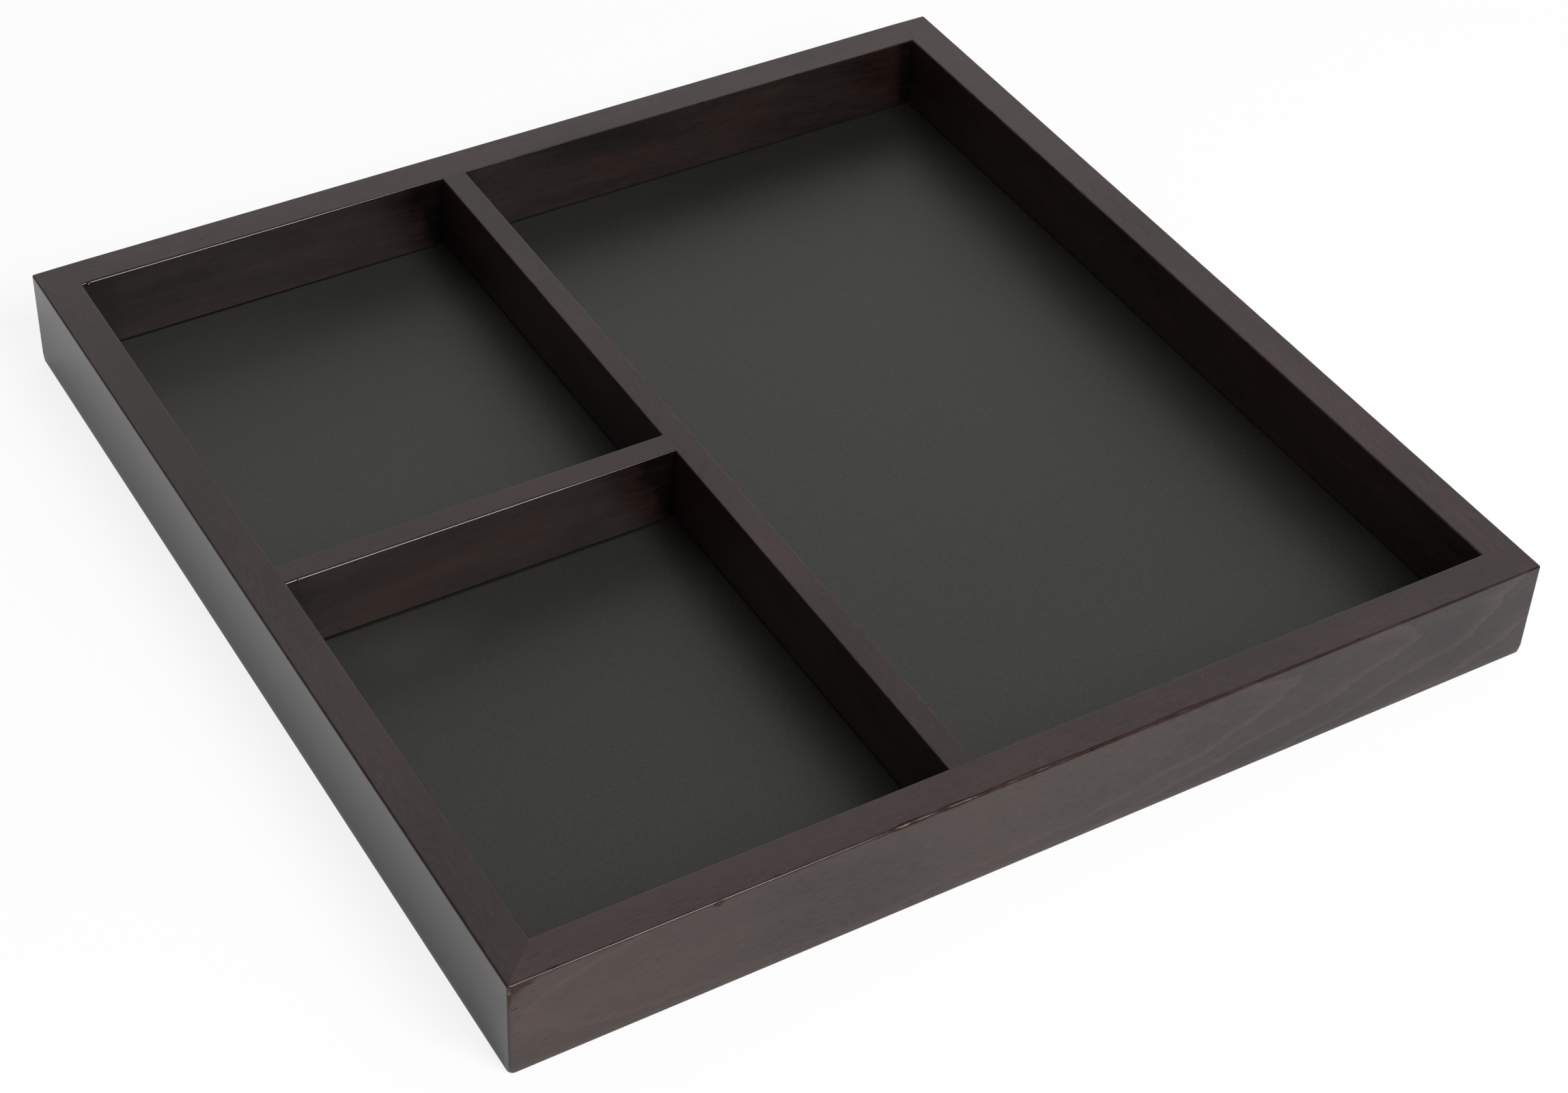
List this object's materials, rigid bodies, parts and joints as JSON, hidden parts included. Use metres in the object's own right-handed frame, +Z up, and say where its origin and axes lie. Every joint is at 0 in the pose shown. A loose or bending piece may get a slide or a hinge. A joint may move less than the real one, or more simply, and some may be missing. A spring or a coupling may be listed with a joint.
{
  "type": "serving tray",
  "caption": "Square dark-stained wooden serving tray with a chalkboard floor, split by flush dividers into a large compartment and smaller ones beside it.",
  "frame": {"origin": "middle of the underside, on the surface that the tray stands on", "axes": "+X from the left rail to the right rail, +Y from the front rail to the back rail, +Z up out of the compartments"},
  "size_m": [0.356, 0.356, 0.036],
  "materials": {
    "stained_wood": "dark espresso stain under satin lacquer, worn pale on the edges",
    "chalkboard": "matte chalkboard paint on hardboard",
    "beech": "plain sanded beech",
    "screw_steel": "zinc-plated steel"
  },
  "bodies": {
    "root": {"front_rail": "stained_wood", "back_rail": "stained_wood", "left_rail": "stained_wood", "right_rail": "stained_wood", "long_divider": "stained_wood", "cross_divider": "stained_wood", "chalkboard_panel": "chalkboard", "corner_spline_front_left": "beech", "corner_spline_front_right": "beech", "corner_spline_back_left": "beech", "corner_spline_back_right": "beech", "long_divider_dowel_front_1": "beech", "long_divider_dowel_front_2": "beech", "long_divider_dowel_back_1": "beech", "long_divider_dowel_back_2": "beech", "cross_divider_dowel_left_1": "beech", "cross_divider_dowel_left_2": "beech", "cross_divider_dowel_right_1": "beech", "cross_divider_dowel_right_2": "beech", "long_divider_screw_1": "screw_steel", "long_divider_screw_2": "screw_steel", "long_divider_screw_3": "screw_steel", "long_divider_screw_4": "screw_steel", "cross_divider_screw_1": "screw_steel", "cross_divider_screw_2": "screw_steel"}
  },
  "joints": []
}
